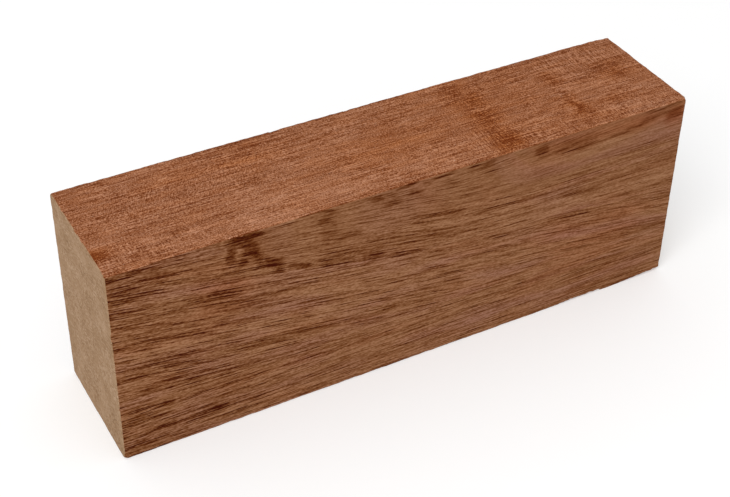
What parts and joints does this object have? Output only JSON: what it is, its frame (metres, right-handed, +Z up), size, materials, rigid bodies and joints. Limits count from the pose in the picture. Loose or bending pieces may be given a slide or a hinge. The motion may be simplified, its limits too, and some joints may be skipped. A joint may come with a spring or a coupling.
{
  "type": "hardwood block",
  "caption": "Rectangular sawn block of reddish-brown hardwood with splintered arrises, used as raw stock for carving, turning or woodwork.",
  "frame": {"origin": "middle of the underside, the long narrow face that the block stands on", "axes": "+X along the grain towards the right-hand end, +Y through the thickness towards the back wide face, +Z up"},
  "size_m": [0.225, 0.05, 0.08],
  "materials": {
    "sawn_hardwood": "matte"
  },
  "bodies": {
    "root": {"hardwood_block": "sawn_hardwood"}
  },
  "joints": []
}
